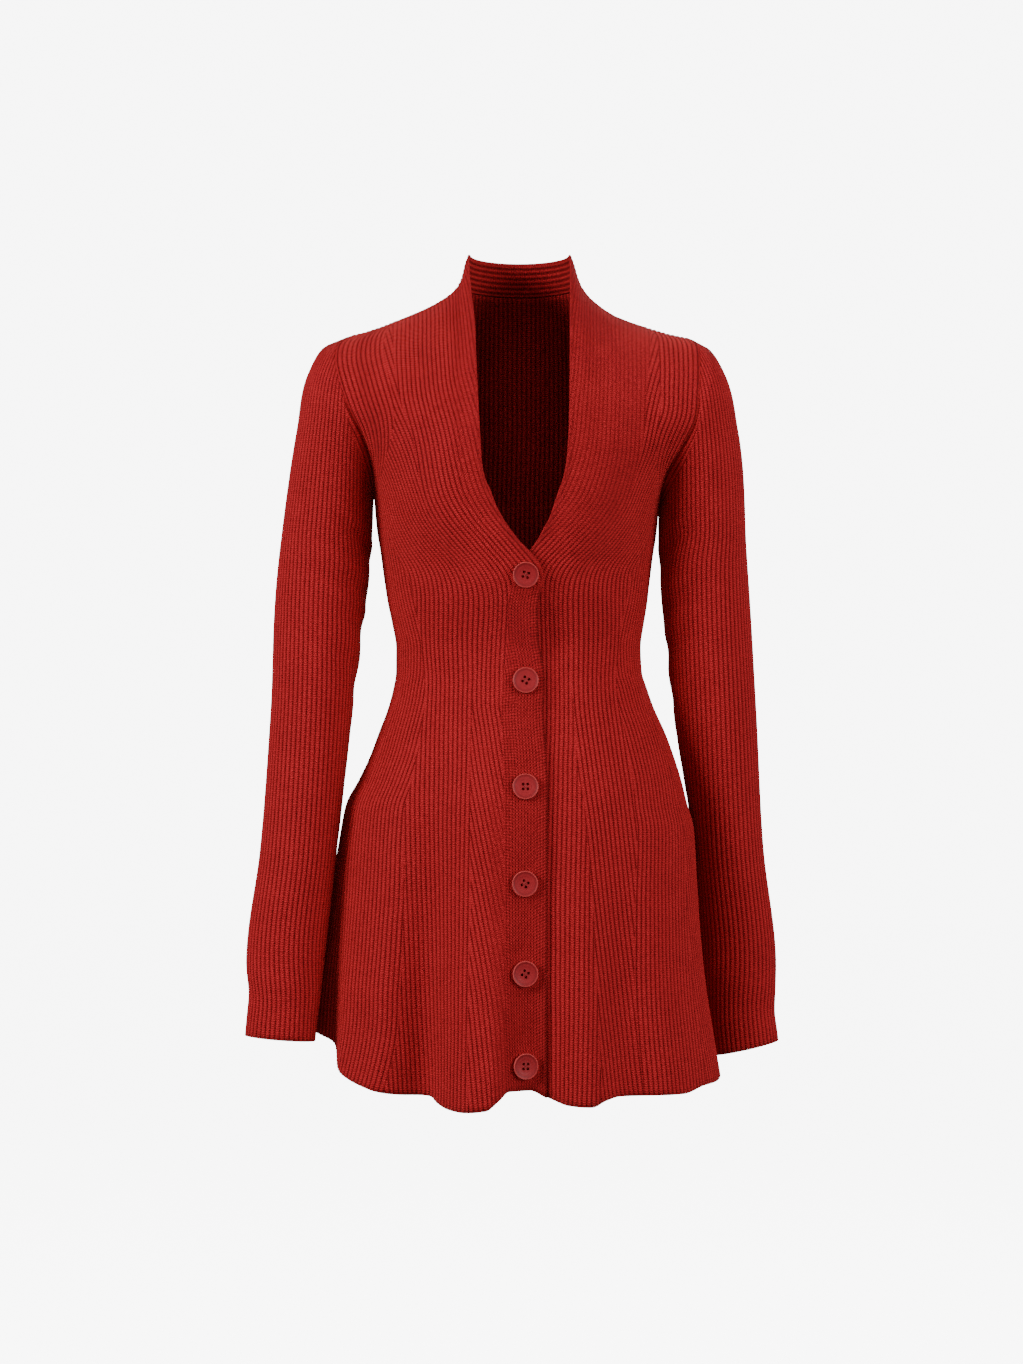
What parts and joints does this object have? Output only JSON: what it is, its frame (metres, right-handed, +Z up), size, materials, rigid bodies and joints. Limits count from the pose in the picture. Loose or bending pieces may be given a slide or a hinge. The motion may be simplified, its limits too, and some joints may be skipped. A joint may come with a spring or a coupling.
{
  "type": "knit mini dress",
  "caption": "Long-sleeved ribbed knit mini dress in its worn form, with a buttoned V front, a stand collar round the neck, a fitted waist and a flared skirt in soft folds.",
  "frame": {"origin": "midway between the shoulders, at the height of their tips, where the wearer holds the dress up", "axes": "+Z up, +Y towards the back, +X towards the wearer's left"},
  "size_m": [0.5331, 0.2516, 0.8448],
  "materials": {
    "knit": "matt wool-like rib knit, red",
    "button": "satin, dyed to match the knit"
  },
  "bodies": {
    "root": {"front_right": "knit", "front_left": "knit", "back": "knit", "collar": "knit", "sleeve_right": "knit", "sleeve_left": "knit", "button_1": "button", "button_2": "button", "button_3": "button", "button_4": "button", "button_5": "button", "button_6": "button"}
  },
  "joints": []
}
